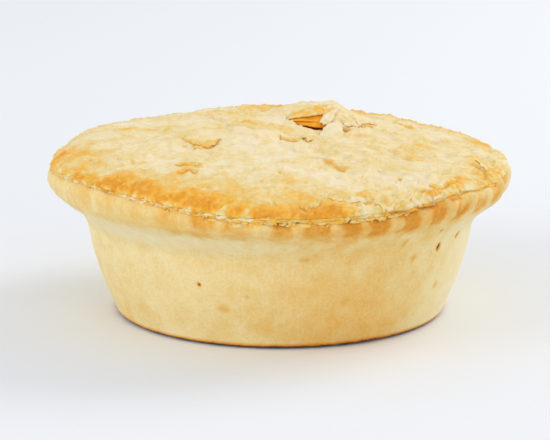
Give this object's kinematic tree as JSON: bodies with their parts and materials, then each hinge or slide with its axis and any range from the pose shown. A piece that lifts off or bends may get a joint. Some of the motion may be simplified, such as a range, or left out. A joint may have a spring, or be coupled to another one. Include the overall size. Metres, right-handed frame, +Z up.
{
  "type": "beef pie",
  "caption": "Round single-serve savoury pie: tapered shortcrust case with a fluted rim, and a golden flaky pastry lid with a burst blister and small splits.",
  "frame": {"origin": "centre of the flat base, on the surface that the pie stands on", "axes": "+Z up through the lid; -Y is the side that faces the camera in the picture, with +X to its right"},
  "size_m": [0.1151, 0.1152, 0.0473],
  "materials": {
    "shortcrust": "baked shortcrust pastry, dry and fine grained, pale gold and browner on the rim",
    "flaky_pastry": "baked flaky pastry with an egg wash, soft sheen, pale gold top and deep golden shoulder"
  },
  "bodies": {
    "root": {"pastry_case": "shortcrust", "pastry_lid": "flaky_pastry"}
  },
  "joints": []
}
